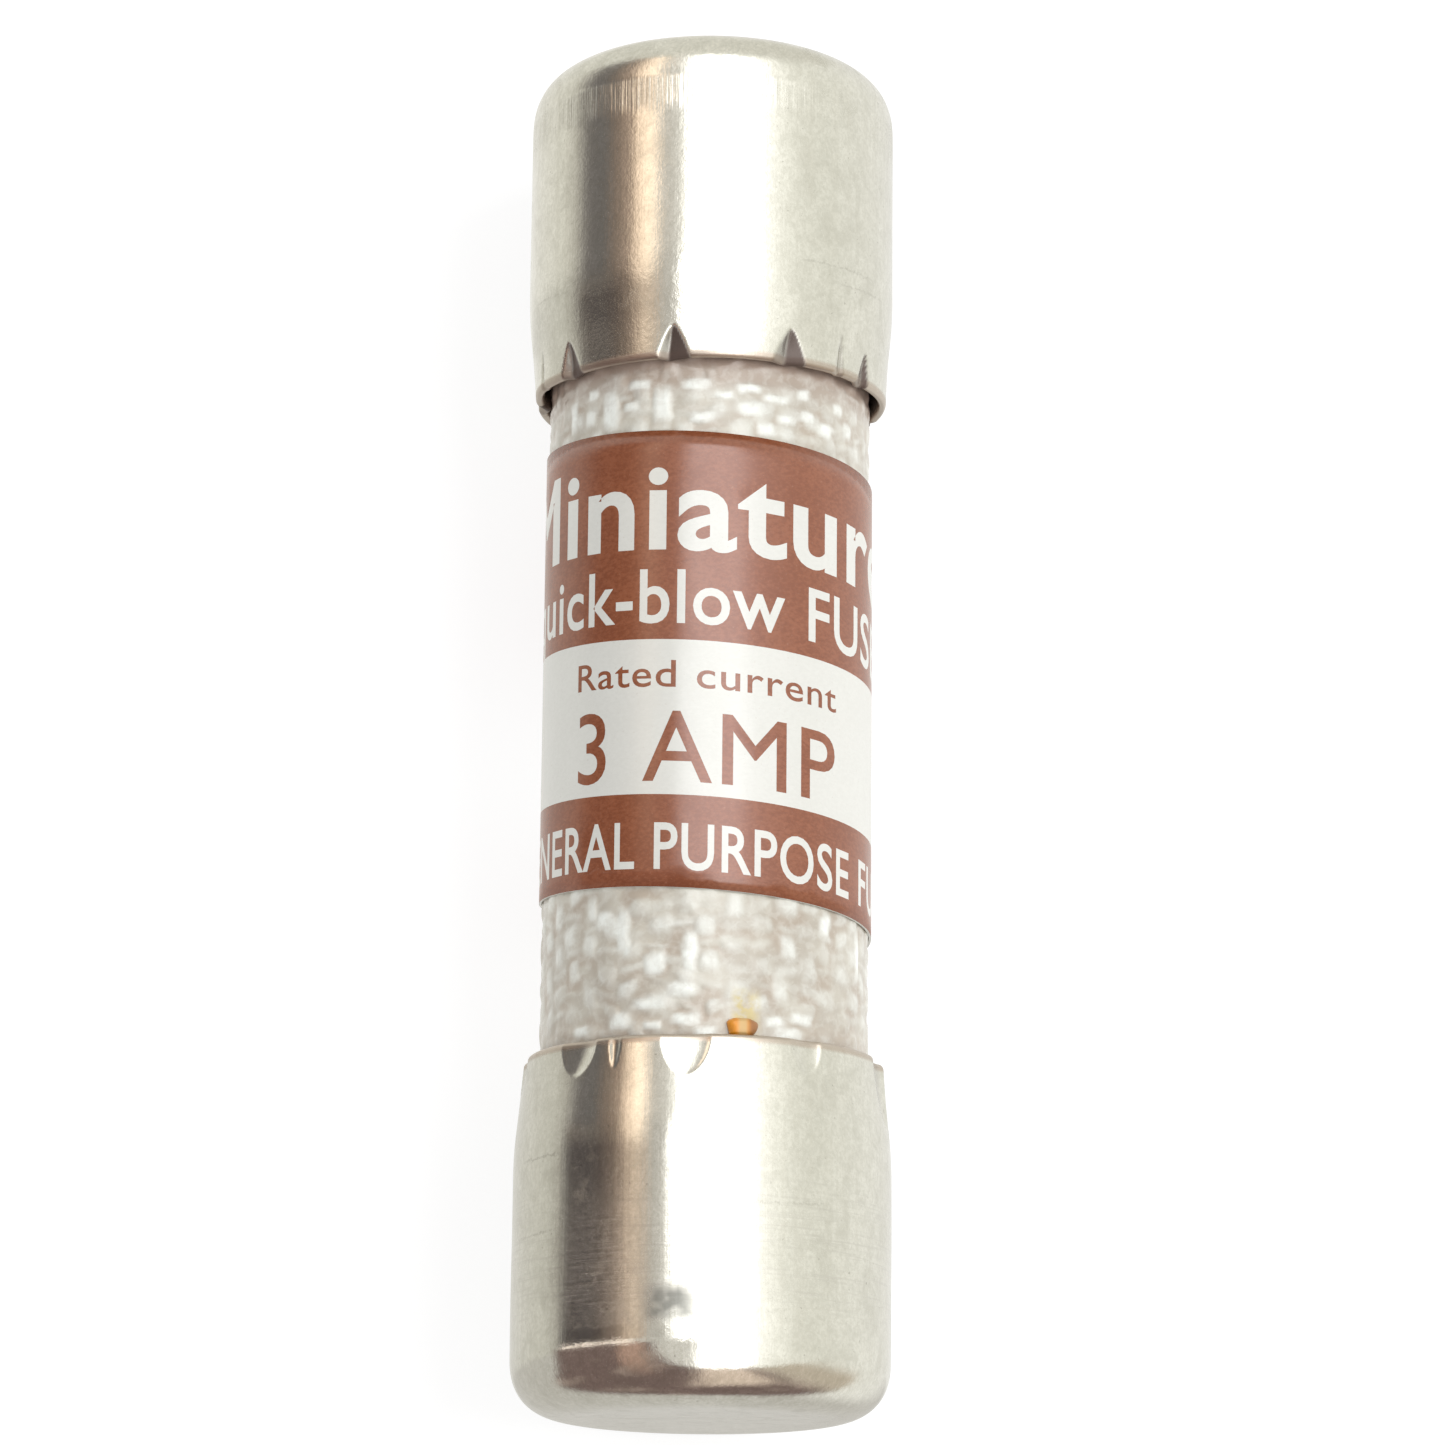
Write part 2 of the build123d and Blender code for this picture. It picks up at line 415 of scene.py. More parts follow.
# Yarns that stand out white: angle in degrees, y, width, height
WHITE_YARNS = [
    (-57, 8.3, 0.35, 0.9),
    (-37.5, 8.15, 0.5, 1.05),
    (-17, 8.15, 0.5, 1.0),
    (-46, 8.75, 0.4, 0.28),
    (-26, 8.8, 0.6, 0.3),
    (-29, 8.2, 0.5, 0.26),
    (-5, 8.7, 0.8, 0.26),
    (14, 8.6, 0.6, 0.24),
    (24, 8.4, 0.8, 0.26),
    (35, 8.65, 0.45, 0.26),
    (15, 8.05, 0.8, 0.4),
    (45, 7.8, 0.5, 0.35),
    (36.5, 8.05, 0.45, 0.3),
    (28, 7.85, 0.6, 0.28),
    (52, 8.5, 0.4, 0.3),
    (58, 8.0, 0.4, 0.45),
    (20, 7.5, 0.5, 0.35),
    (-3, 7.75, 0.6, 0.3),
    (-47, 8.1, 0.4, 0.45),
    (5, 8.4, 0.5, 0.22),
    (-47, -9.05, 0.5, 0.3),
    (-30, -8.9, 0.7, 0.4),
    (-18, -9.05, 0.5, 0.25),
    (-6.5, -8.9, 0.8, 0.32),
    (0.5, -9.25, 0.6, 0.25),
    (25, -8.9, 0.5, 0.25),
    (30, -9.2, 0.9, 0.32),
    (35.5, -8.75, 0.7, 0.3),
    (-19, -8.45, 0.9, 0.34),
    (-8, -8.1, 0.75, 0.4),
    (-5, -7.1, 0.38, 1.1),
    (-29, -6.5, 0.42, 1.2),
    (-37, -6.1, 0.5, 0.5),
    (-17.5, -7.4, 0.55, 0.55),
    (46, -6.1, 0.4, 0.5),
    # At 67 degrees, near the edge, this streak is partly yarn and partly a painted highlight of the resin
    (67, -6.7, 0.3, 1.3),
]


def weave(angle, y):
    """(relief from 0 to 1, how much bright yarn shows, how much gap shows) of the cloth in the resin."""
    u = angle / TURN * AXIAL_YARNS + 0.32 * waves(angle, y, 7, 5, 1.3, seed=11) + 0.3
    v = y / HOOP_PITCH + 0.45 * waves(angle, y, 7, 6, 1.5, seed=12)
    u = u + 0.1 * waves(angle, y, 9, 1.1, 0.45, seed=13)
    v = v + 0.1 * waves(angle, y, 9, 1.1, 0.45, seed=14)
    height, yarn = np.zeros(u.shape), np.zeros(u.shape)
    for over, up_by in [(over, up_by) for over in (-1, 0, 1) for up_by in (-1, 0, 1)]:
        column, row = np.floor(u).astype(int) + over, np.floor(v).astype(int) + up_by
        across, up = u - column - 0.5, v - row - 0.5
        column, row = column % AXIAL_YARNS, row + MIDDLE_ROW
        shade, wide, tall = YARN_SHADE[column, row], YARN_WIDE[column, row], YARN_TALL[column, row]
        across = across + YARN_SHIFT[0][column, row]
        up = up + YARN_SHIFT[1][column, row] + YARN_LEAN[column, row] * across
        blob = np.exp(-(np.abs(across / wide) ** 3.2) - np.abs(up / tall) ** 3.2)
        dash = np.exp(-(np.abs(across / (0.15 + wide)) ** 3) - np.abs(up / (0.4 * tall)) ** 2.6)
        axial_over = (column + row) % 2 == 0
        yarn = yarn + np.where(axial_over, blob * (0.2 + 0.55 * shade), dash * 0.45 * shade)
        height = height + np.where(axial_over, blob, 0.5 * dash)
    # Bright yarn is dimmed towards both mouths: painted shade next to the ferrules
    yarn = yarn * (1 - 0.65 * smooth_step(8.2, 8.8, y)) * (1 - 0.6 * smooth_step(-8.3, -8.7, y))
    ragged_across = 0.06 * waves(angle, y, 5, 1.2, 0.5, seed=16)
    ragged_up = 0.06 * waves(angle, y, 5, 1.2, 0.5, seed=17)
    for degrees, centre, wide, tall in WHITE_YARNS:
        across = arc_from(angle, degrees, TUBE_RADIUS) + ragged_across
        up = y - centre + ragged_up
        spot = np.exp(-(np.abs(2 * across / wide) ** 4) - np.abs(2 * up / tall) ** 4)
        yarn = yarn * (1 - spot) + spot
        height = np.maximum(height, spot)
    height = np.clip(height, 0, 1)
    gap = smooth_step(0.5, 0.1, height) * smooth_step(-0.2, 0.4, waves(angle, y, 9, 2.0, 0.8, seed=15))
    return height, np.clip(yarn, 0, 1), gap


def tube():
    """The tube as one closed skin, with fine rows where the cloth shows between label and ferrules."""
    angle = np.arange(STEPS_ROUND) * TURN / STEPS_ROUND
    under_top, under_bottom = UNDER_LABEL
    heights = [TUBE_END_Y, *HIDDEN_ROWS]
    heights += [*np.arange(CLOTH_END_Y, under_top, -FINE_ROW)]
    heights += [*np.arange(under_top, under_bottom, -COARSE_ROW)]
    heights += [*np.arange(under_bottom, -CLOTH_END_Y, -FINE_ROW), -CLOTH_END_Y]
    heights += [-y for y in reversed(HIDDEN_ROWS)] + [-TUBE_END_Y]
    rows, yarns, gaps = [], [], []
    for y in heights:
        relief, yarn, gap = weave(angle, y)
        sunk = RELIEF * (1 - relief) if abs(y) < TUBE_END_Y else 0.0
        rows.append(round_axis(TUBE_RADIUS - sunk, y, angle))
        yarns.append(yarn)
        gaps.append(gap)
    for y in (-TUBE_END_Y, TUBE_END_Y):
        rows.append(round_axis(BORE_RADIUS, y, angle))
        yarns.append(0 * angle)
        gaps.append(0 * angle)
    made = skin("glass_cloth_tube", np.stack(rows), None)
    keep_values(made, "yarn", np.stack(yarns))
    keep_values(made, "gap", np.stack(gaps))
    return made


glass_tube = tube()

# ---------------------------------------------------------------- label

# The pale band runs between these heights above the bottom edge, and ink covers the rest
LABEL_BANDS = (2.53, 6.82)
LABEL_COLUMNS = 91
BAND_ROWS = (4, 7, 10)
# Words, height, width, baseline above the bottom edge, boldness, whether the letters are in ink
LABEL_LINES = [
    ("Miniature", 2.4, 15.4, 9.4, 0.02, False),
    ("quick-blow FUSE", 1.5, 14.4, 7.3, 0.012, False),
    ("Rated current", 0.74, 8.0, 5.5, 0.006, True),
    ("3 AMP", 1.95, 7.9, 2.9, 0.004, True),
    ("GENERAL PURPOSE FUSE", 1.27, 16.6, 0.5, 0.012, False),
]
LETTER_SPACING = 1.06


def lettering(words, height, width, baseline, boldness):
    """Outline points and edges of a line of words on the flat label, centred."""
    curve = bpy.data.curves.new("lettering", "FONT")
    curve.body = words
    curve.offset = boldness
    curve.resolution_u = 5
    curve.space_character = LETTER_SPACING
    writing = bpy.data.objects.new("lettering", curve)
    scene.collection.objects.link(writing)
    mesh = bpy.data.meshes.new_from_object(writing)
    points = np.array([v.co[:2] for v in mesh.vertices])
    uses = {}
    for polygon in mesh.polygons:
        for key in polygon.edge_keys:
            uses[key] = uses.get(key, 0) + 1
    edges = np.array([key for key, count in uses.items() if count == 1])
    bpy.data.objects.remove(writing)
    bpy.data.curves.remove(curve)
    bpy.data.meshes.remove(mesh)
    low, high = points.min(0), points.max(0)
    points[:, 0] = (points[:, 0] - (low[0] + high[0]) / 2) * width / (high[0] - low[0])
    points[:, 1] = points[:, 1] * height / high[1] + baseline
    used = np.unique(edges)
    place = {old: new for new, old in enumerate(used)}
    return points[used], np.array([[place[a], place[b]] for a, b in edges])


def inside_outline(places, points, edges):
    """Which places lie inside an outline, by counting the edges to their right."""
    inside = np.zeros(len(places), bool)
    for a, b in edges:
        (x1, y1), (x2, y2) = points[a], points[b]
        if y1 == y2:
            continue
        crosses = (places[:, 1] < y1) != (places[:, 1] < y2)
        at = x1 + (places[:, 1] - y1) * (x2 - x1) / (y2 - y1)
        inside ^= crosses & (places[:, 0] < at)
    return inside


def label_grid(width):
    """Points of the flat sheet's grid, and the edges of its outline and of its bands."""
    across = np.linspace(-width / 2, width / 2, LABEL_COLUMNS)
    levels = (0, *LABEL_BANDS, LABEL_HEIGHT)
    up, border_rows = [0.0], [0]
    for low, high, rows in zip(levels, levels[1:], BAND_ROWS):
        up += [*steps_after(low, high, rows + 1)]
        border_rows.append(len(up) - 1)
    points = np.stack(np.meshgrid(across, up), axis=-1).reshape(-1, 2)
    edges = []
    for row in border_rows:
        base = row * LABEL_COLUMNS
        edges += [(base + k, base + k + 1) for k in range(LABEL_COLUMNS - 1)]
    for side in (0, LABEL_COLUMNS - 1):
        edges += [(r * LABEL_COLUMNS + side, (r + 1) * LABEL_COLUMNS + side) for r in range(len(up) - 1)]
    return points, edges


def border_of(triangles):
    """Edges that only one triangle uses, in that triangle's order."""
    border = {}
    for a, b, c in triangles:
        for key in ((a, b), (b, c), (c, a)):
            if key[::-1] in border:
                del border[key[::-1]]
            else:
                border[key] = True
    return list(border)


def label():
    """The printed wrap: a flat sheet cut along its letters' outlines, then rolled round the tube."""
    grid, edges = label_grid(TURN * LABEL_RADIUS - LABEL_GAP)
    points, count, outlines = [grid], len(grid), []
    for words, height, line_width, baseline, boldness, in_ink in LABEL_LINES:
        line, line_edges = lettering(words, height, line_width, baseline, boldness)
        outlines.append((line, line_edges, in_ink))
        points.append(line)
        edges += [(int(a) + count, int(b) + count) for a, b in line_edges]
        count += len(line)
    flat = [Vector(p) for p in np.vstack(points)]
    flat, _, triangles, *_ = delaunay_2d_cdt(flat, edges, [], 0, 1e-5)
    flat = np.array([tuple(p) for p in flat])
    triangles = np.array([list(t) for t in triangles])
    middles = flat[triangles].mean(axis=1)
    ink = (middles[:, 1] < LABEL_BANDS[0]) | (middles[:, 1] > LABEL_BANDS[1])
    for line, line_edges, in_ink in outlines:
        near = (middles[:, 1] > line[:, 1].min()) & (middles[:, 1] < line[:, 1].max())
        hit = np.zeros(len(middles), bool)
        hit[near] = inside_outline(middles[near], line, line_edges)
        ink[hit] = in_ink
    angle = flat[:, 0] / LABEL_RADIUS
    y = LABEL_CENTRE - LABEL_HEIGHT / 2 + flat[:, 1] - flat[:, 0] * LABEL_SKEW
    outer = round_axis(LABEL_RADIUS, y, angle)
    inner = round_axis(LABEL_RADIUS - LABEL_THICKNESS, y, angle)
    size = len(flat)
    walls = [(b, a, a + size, b + size) for a, b in border_of(triangles.tolist())]
    faces = triangles.tolist() + (triangles[:, ::-1] + size).tolist() + walls
    made = make_mesh("printed_label", np.vstack([outer, inner]), faces)
    slots = np.concatenate([np.where(ink, 1, 0), np.zeros(len(triangles) + len(walls), int)])
    made.data.polygons.foreach_set("material_index", slots.astype(np.int32))
    smooth = np.ones(len(faces), bool)
    smooth[2 * len(triangles):] = False
    made.data.polygons.foreach_set("use_smooth", smooth)
    return made


paper_label = label()

# ---------------------------------------------------------------- cement bead

BEAD_ANGLE = math.radians(13.0)
BEAD_HALF_WIDTH = 0.41
BEAD_BOTTOM = -MOUTH_Y - 0.02
BEAD_TOP = -MOUTH_Y + 0.5
BEAD_FOOT = TUBE_RADIUS - 0.03
BEAD_STAND = 0.25
BEAD_PEAK = TUBE_RADIUS + 0.222
BEAD_STEPS = 48


def squared(wave):
    """A sine or cosine wave with a flatter top, for a rounded square."""
    return np.abs(wave) ** 0.7 * np.sign(wave)


def bead():
    """A small lump of squeezed-out cement that sits on the tube against the lower mouth."""
    turns = np.arange(BEAD_STEPS) * TURN / BEAD_STEPS
    lump = 1 + 0.07 * np.sin(3 * turns + 1) + 0.04 * np.sin(5 * turns)
    middle = (BEAD_BOTTOM + BEAD_TOP) / 2
    rows = []
    for level in np.linspace(0, 1, 14)[:-1]:
        shrink = math.cos(level * math.pi / 2) ** 0.55
        across = BEAD_HALF_WIDTH * squared(np.cos(turns)) * shrink * lump
        y = middle + (BEAD_TOP - BEAD_BOTTOM) / 2 * squared(np.sin(turns)) * shrink
        radius = BEAD_FOOT + BEAD_STAND * math.sin(level * math.pi / 2)
        rows.append(round_axis(radius, y, BEAD_ANGLE + across / TUBE_RADIUS))
    poles = [round_axis(radius, middle, np.array(BEAD_ANGLE)) for radius in (BEAD_FOOT, BEAD_PEAK)]
    return skin("cement_blob", np.stack(rows), poles)


cement = bead()

# ---------------------------------------------------------------- node helpers


class Nodes:
    """Short names for making one material's nodes. Each method returns a socket, but add returns a node."""

    def __init__(self, tree):
        self.tree = tree

    def feed(self, made, inputs):
        """Link or set a node's inputs. Colours have three numbers."""
        for name, value in inputs.items():
            socket = made.inputs[name]
            if isinstance(value, bpy.types.NodeSocket):
                self.tree.links.new(value, socket)
            elif socket.type == "RGBA":
                socket.default_value = (*value, 1.0)
            else:
                socket.default_value = value

    def add(self, kind, inputs=None, **settings):
        made = self.tree.nodes.new(kind)
        for name, value in settings.items():
            setattr(made, name, value)
        self.feed(made, inputs or {})
        return made

    def place(self, scale):
        """Object coordinates in millimetres, stretched by scale."""
        where = self.add("ShaderNodeTexCoord").outputs["Object"]
        factor = tuple(s / MM for s in scale)
        return self.add("ShaderNodeVectorMath", {0: where, 1: factor}, operation="MULTIPLY").outputs[0]

    def axes(self):
        """X, Y and Z in millimetres."""
        return self.add("ShaderNodeSeparateXYZ", {"Vector": self.place((1, 1, 1))}).outputs

    def kept(self, name):
        """A number that keep_values stored."""
        return self.add("ShaderNodeAttribute", attribute_name=name).outputs["Fac"]

    def noise(self, scale, detail=3.0, rough=0.55, warp=0.0):
        """Noise with these many features per millimetre along X, Y and Z."""
        inputs = {"Vector": self.place(scale), "Scale": 1.0}
        inputs |= {"Detail": detail, "Roughness": rough, "Distortion": warp}
        return self.add("ShaderNodeTexNoise", inputs).outputs["Fac"]

    def maths(self, operation, a, b=0.0, c=0.0):
        return self.add("ShaderNodeMath", {0: a, 1: b, 2: c}, operation=operation).outputs[0]

    def times(self, first, *others):
        for other in others:
            first = self.maths("MULTIPLY", first, other)
        return first

    def add_part(self, base, value, share):
        """base plus this share of value."""
        return self.maths("MULTIPLY_ADD", value, share, base)

    def spread(self, value, low, high, to_low=0.0, to_high=1.0):
        """value mapped smoothly from low..high to to_low..to_high."""
        inputs = {"Value": value, "From Min": low, "From Max": high, "To Min": to_low, "To Max": to_high}
        return self.add("ShaderNodeMapRange", inputs, interpolation_type="SMOOTHSTEP").outputs["Result"]

    def band(self, value, start, full, full_end, end):
        """1 between full and full_end, fading to 0 at start and end."""
        return self.times(self.spread(value, start, full), self.spread(value, end, full_end))

    def mix(self, factor, a, b):
        return self.add("ShaderNodeMix", {0: factor, 6: a, 7: b}, data_type="RGBA").outputs[2]

    def layers(self, colour, covers):
        """colour under covers, each a pair of how much it covers and its own colour."""
        for factor, cover in covers:
            colour = self.mix(factor, colour, cover)
        return colour

    def bump(self, height, depth, normal=None):
        """Bump of this depth in millimetres."""
        inputs = {"Height": height, "Distance": depth * MM, "Strength": 1.0}
        if normal is not None:
            inputs["Normal"] = normal
        return self.add("ShaderNodeBump", inputs).outputs["Normal"]

    def ramp(self, degrees, stops):
        """Colours at stops in degrees from -180 to 180, blended between."""
        made = self.add("ShaderNodeValToRGB", {"Fac": self.maths("MULTIPLY_ADD", degrees, 1 / 360, 0.5)})
        elements = made.color_ramp.elements
        elements.remove(elements[-1])
        elements[0].position = (stops[0][0] + 180) / 360
        elements[0].color = (*stops[0][1], 1)
        for at, colour in stops[1:]:
            elements.new((at + 180) / 360).color = (*colour, 1)
        return made.outputs["Color"]

    def degrees(self, operation, a, b=0.0):
        """An inverse trigonometric operation's angle in degrees."""
        return self.times(self.maths(operation, a, b), 360 / TURN)


def new_material(name):
    made = bpy.data.materials.new(name)
    made.use_nodes = True
    return made, Nodes(made.node_tree), made.node_tree.nodes["Principled BSDF"]


# ---------------------------------------------------------------- materials

# Hairline scratches across the front: from x, to x, y at x = 0, slope, darkness
HAIRLINES = [
    (2.4, 4.6, 12.2, 0.04, 0.22),
    (3.4, 4.9, 11.5, 0.1, 0.2),
    (-5.0, -3.8, 10.9, -0.2, 0.2),
    (-0.5, 0.3, 14.9, -0.9, 0.25),
    (-4.9, -3.7, -12.3, 0.02, 0.4),
    (-5.0, -3.8, -14.2, 0.05, 0.35),
    (1.0, 3.4, -13.9, 0.04, 0.2),
]
HAIRLINE_COLOUR = (0.30, 0.28, 0.25)
HAIRLINE_WANDER = 0.22


def hairlines(n, axes, wander_by, grain, tint):
    """Thin broken scratches drawn over tint."""
    for start, end, at, slope, dark in HAIRLINES:
        wander = n.maths("MULTIPLY_ADD", wander_by, HAIRLINE_WANDER, at - HAIRLINE_WANDER / 2)
        line = n.maths("MULTIPLY_ADD", axes["X"], slope, wander)
        off = n.maths("ABSOLUTE", n.maths("SUBTRACT", axes["Y"], line))
        shown = n.times(n.spread(off, 0.045, 0.015), n.spread(axes["Z"], 0, 0.5))
        shown = n.times(shown, n.band(axes["X"], start, start + 0.3, end - 0.3, end))
        shown = n.times(shown, n.spread(grain, 0.35, 0.6, 0.3, 1.0))
        tint = n.mix(n.times(shown, dark), tint, HAIRLINE_COLOUR)
    return tint


def nickel_stain(n, axes):
    """A dark smear low on the front of the lower ferrule."""
    stain = n.times(n.band(axes["X"], -1.6, -1.15, -0.6, 0.3), n.spread(axes["Z"], 0, 1))
    stain = n.times(stain, n.band(axes["Y"], -17.1, -16.75, -16.3, -15.8))
    broken = n.noise((2.4, 3, 2.4), 1, 0.4)
    return n.times(stain, n.spread(broken, 0.3, 0.6, 0.6, 1.0))


def nickel_plate():
    """Bright nickel, drawn along the axis, with fine scratches round it, smudges and dull patches, painted
    shade in the stakes, scoops and mouth, and a painted reflection on the lip.
    """
    made, n, shader = new_material("nickel_plate")
    axes = n.axes()
    height = axes["Y"]
    outward = n.maths("ABSOLUTE", height)
    # Painted shade in the stakes, scoops and mouth, kept on the ferrule meshes
    painted_shade = n.kept("painted_shade")
    drawn = n.noise((7, 0.1, 7), 4, 0.65)
    scratches = n.noise((0.5, 13, 0.5), 2, 0.6, 0.3)
    cloud = n.noise((0.55, 0.45, 0.55), 4, 0.6, 0.5)
    blotch = n.noise((1.4, 1.1, 1.4), 4, 0.65, 0.8)
    mottle = n.noise((4.5, 3.6, 4.5), 3, 0.7, 0.6)
    grain = n.noise((11, 9, 11), 2, 0.7)
    # Places: brushed just under the upper corner, worn by a clip, closed ends, lip, buffed lower corner
    near_corner = n.band(height, 16.3, 16.8, 17.4, 17.55)
    worn_ring = n.band(height, -17.2, -16.2, -14.2, -12.4)
    end_cap = n.spread(outward, 17.3, 17.9)
    lip = n.spread(outward, 9.62, 9.50)
    polished = n.spread(height, -16.9, -17.3)
    calm = n.spread(height, 0, -9.5, 0.85, 0.35)
    smudge = n.spread(blotch, 0.53, 0.68)
    stain = nickel_stain(n, axes)
    pits = n.spread(n.noise((7, 7, 7), 2, 0.5), 0.70, 0.78)

    rough = n.spread(cloud, 0.3, 0.75, 0.10, 0.15)
    for patch, extra in ((smudge, 0.08), (worn_ring, 0.03)):
        rough = n.add_part(rough, patch, extra)
    rough = n.times(rough, n.spread(polished, 0, 1, 1.0, 0.55))
    for patch, extra in ((end_cap, 0.08), (near_corner, 0.08), (stain, 0.22), (lip, 0.2), (painted_shade, 0.2)):
        rough = n.add_part(rough, patch, extra)

    tint = n.mix(n.spread(cloud, 0.35, 0.7), (0.80, 0.785, 0.72), (0.745, 0.73, 0.665))
    tint = n.layers(
        tint,
        [
            (n.times(smudge, 0.42), (0.55, 0.535, 0.47)),
            (n.spread(blotch, 0.40, 0.58, 0.0, 0.3), (0.63, 0.615, 0.55)),
            (n.spread(mottle, 0.42, 0.62, 0.0, 0.36), (0.59, 0.58, 0.52)),
            (n.spread(grain, 0.42, 0.62, 0.0, 0.34), (0.58, 0.565, 0.50)),
            (n.spread(drawn, 0.45, 0.65, 0.0, 0.2), (0.62, 0.60, 0.53)),
            (n.times(worn_ring, n.spread(scratches, 0.5, 0.7, 0.0, 0.5)), (0.6, 0.58, 0.53)),
            (n.times(pits, 0.5), (0.35, 0.33, 0.29)),
            (n.times(stain, 0.8), (0.14, 0.145, 0.135)),
            # Brown-beige on the lip: a painted reflection of the tube and the shade under the lip
            (n.times(lip, 0.75), (0.50, 0.415, 0.345)),
            # Near-black brown where that number is high: painted shade in the stakes, scoops and mouth
            (n.times(painted_shade, 0.95), (0.07, 0.042, 0.033)),
        ],
    )
    tint = hairlines(n, axes, mottle, grain, tint)

    normal = None
    for pattern, depth in (
        (drawn, 0.002),
        (n.times(drawn, near_corner), 0.018),
        (scratches, 0.0004),
        (n.times(scratches, worn_ring), 0.0006),
        (n.times(mottle, calm), 0.0035),
        (n.times(mottle, end_cap), 0.003),
        (n.times(grain, calm), 0.0028),
    ):
        normal = n.bump(pattern, depth, normal)
    # Less metallic where the painted shade is strong, so its dark brown shows
    bare = n.spread(painted_shade, 0.15, 0.8, 1.0, 0.15)
    n.feed(shader, {"Base Color": tint, "Metallic": bare, "Roughness": rough, "Normal": normal})
    return made


def glass_cloth():
    """Woven glass seen through clear resin: bright yarns, beige resin, darker gaps, and painted shade on the
    tube next to both ferrule mouths.
    """
    made, n, shader = new_material("glass_cloth_resin")
    yarn = n.kept("yarn")
    gap = n.kept("gap")
    axes = n.axes()
    height = axes["Y"]
    cloud = n.noise((0.7, 0.7, 0.7), 3, 0.6, 0.4)
    broken = n.noise((2.6, 2.6, 2.6), 3, 0.65, 0.4)
    fibre = n.noise((10, 2.2, 10), 3, 0.6)
    flecks = n.noise((4, 4, 4), 2, 0.6, 0.4)

    resin = n.mix(n.spread(cloud, 0.35, 0.65), (0.46, 0.417, 0.35), (0.565, 0.53, 0.452))
    resin = n.layers(
        resin,
        [
            (n.times(gap, 0.7), (0.42, 0.345, 0.272)),
            # Darker brown towards both mouths: painted shade on the tube next to the ferrules
            (n.spread(height, 8.3, 9.0, 0.0, 0.75), (0.38, 0.30, 0.245)),
            (n.spread(height, -8.4, -9.2, 0.0, 0.35), (0.46, 0.37, 0.29)),
        ],
    )
    lit = n.times(yarn, n.spread(fibre, 0.25, 0.6, 0.88, 1.0))
    lit = n.times(lit, n.spread(broken, 0.32, 0.55, 0.75, 1.0))
    lit = n.add_part(n.spread(flecks, 0.4, 0.65, -0.03, 0.13), lit, 0.92)
    # Old cement that has soaked into the cloth above the bead
    stain = n.times(n.band(axes["X"], 0.65, 0.9, 1.25, 1.6), n.spread(axes["Z"], 0, 1))
    stain = n.times(stain, n.band(height, -9.6, -9.2, -8.4, -7.9))
    stain = n.times(stain, n.spread(n.noise((3, 3, 3), 3, 0.6), 0.38, 0.6, 0.1, 0.75))
    colour = n.layers(
        resin,
        [
            (lit, (0.87, 0.89, 0.84)),
            # Dark brown right under the upper lip: a painted contact shadow
            (n.spread(height, 9.0, 9.42, 0.0, 0.8), (0.36, 0.26, 0.21)),
            (stain, (0.58, 0.47, 0.17)),
        ],
    )
    gloss = {"Roughness": 0.4, "Coat Weight": 0.6, "Coat Roughness": 0.1}
    n.feed(shader, {"Base Color": colour, "Normal": n.bump(fibre, 0.003), **gloss})
    return made


def label_print(name, colour, other, speck):
    """Coated paper or ink on it, with faint fibres and specks."""
    made, n, shader = new_material(name)
    fibre = n.noise((7, 11, 7), 3, 0.7)
    cloud = n.noise((0.8, 0.8, 0.8), 3, 0.6)
    dots = n.spread(n.noise((14, 14, 14), 2, 0.5), 0.66, 0.76)
    blend = n.add_part(n.times(cloud, 0.35), fibre, 0.65)
    tone = n.mix(n.spread(blend, 0.38, 0.60), colour, other)
    tone = n.mix(n.times(dots, 0.5), tone, speck)
    gloss = {"Roughness": n.spread(cloud, 0.3, 0.7, 0.17, 0.23), "Specular IOR Level": 0.95}
    n.feed(shader, {"Base Color": tone, "Normal": n.bump(fibre, 0.0015), **gloss})
    return made


def speckled(name, colour, other, scale, rough, metallic=0.0, depth=0.004):
    """An inner part's material: two tones mixed by noise, uneven gloss and a grain of its own."""
    made, n, shader = new_material(name)
    pattern = n.noise(scale, 4, 0.6, 0.3)
    tone = n.mix(n.spread(pattern, 0.35, 0.65), colour, other)
    gloss = n.spread(pattern, 0.3, 0.7, rough - 0.06, rough + 0.08)
    surface = {"Roughness": gloss, "Metallic": metallic, "Normal": n.bump(pattern, depth)}
    n.feed(shader, {"Base Color": tone, **surface})
    return made


def amber_cement():
    """Glossy amber cement, with a paler painted highlight near its middle and browner painted shade at its
    right side.
    """
    made, n, shader = new_material("amber_cement")
    cloud = n.noise((3, 3, 3), 3, 0.6)
    across = n.axes()["X"]
    tone = n.mix(n.spread(cloud, 0.35, 0.65), (0.82, 0.31, 0.015), (0.68, 0.26, 0.02))
    # Paler band: a painted highlight
    tone = n.mix(n.band(across, 0.85, 1.0, 1.1, 1.25), tone, (0.62, 0.40, 0.16))
    # Browner right side: painted shade
    tone = n.mix(n.spread(across, 1.1, 1.3), tone, (0.34, 0.15, 0.05))
    gloss = {"Roughness": 0.35, "Coat Weight": 0.3}
    n.feed(shader, {"Base Color": tone, "Normal": n.bump(cloud, 0.01), **gloss})
    return made


nickel = nickel_plate()
paper = label_print("label_paper", (0.72, 0.715, 0.67), (0.69, 0.685, 0.64), (0.60, 0.56, 0.50))
ink = label_print("label_ink", (0.285, 0.089, 0.038), (0.215, 0.058, 0.021), (0.36, 0.16, 0.095))
for piece, cad_node, slot, finishes in (
    (upper_ferrule, "upper_ferrule", "nickel_plate", [nickel]),
    (lower_ferrule, "lower_ferrule", "nickel_plate", [nickel]),
    (glass_tube, "tube", "glass_cloth_resin", [glass_cloth()]),
    (paper_label, "label", "label_paper", [paper, ink]),
    (cement, "cement_bead", "amber_cement", [amber_cement()]),
):
    for finish in finishes:
        piece.data.materials.append(finish)
    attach(piece, "root")
    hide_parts(cad_node)

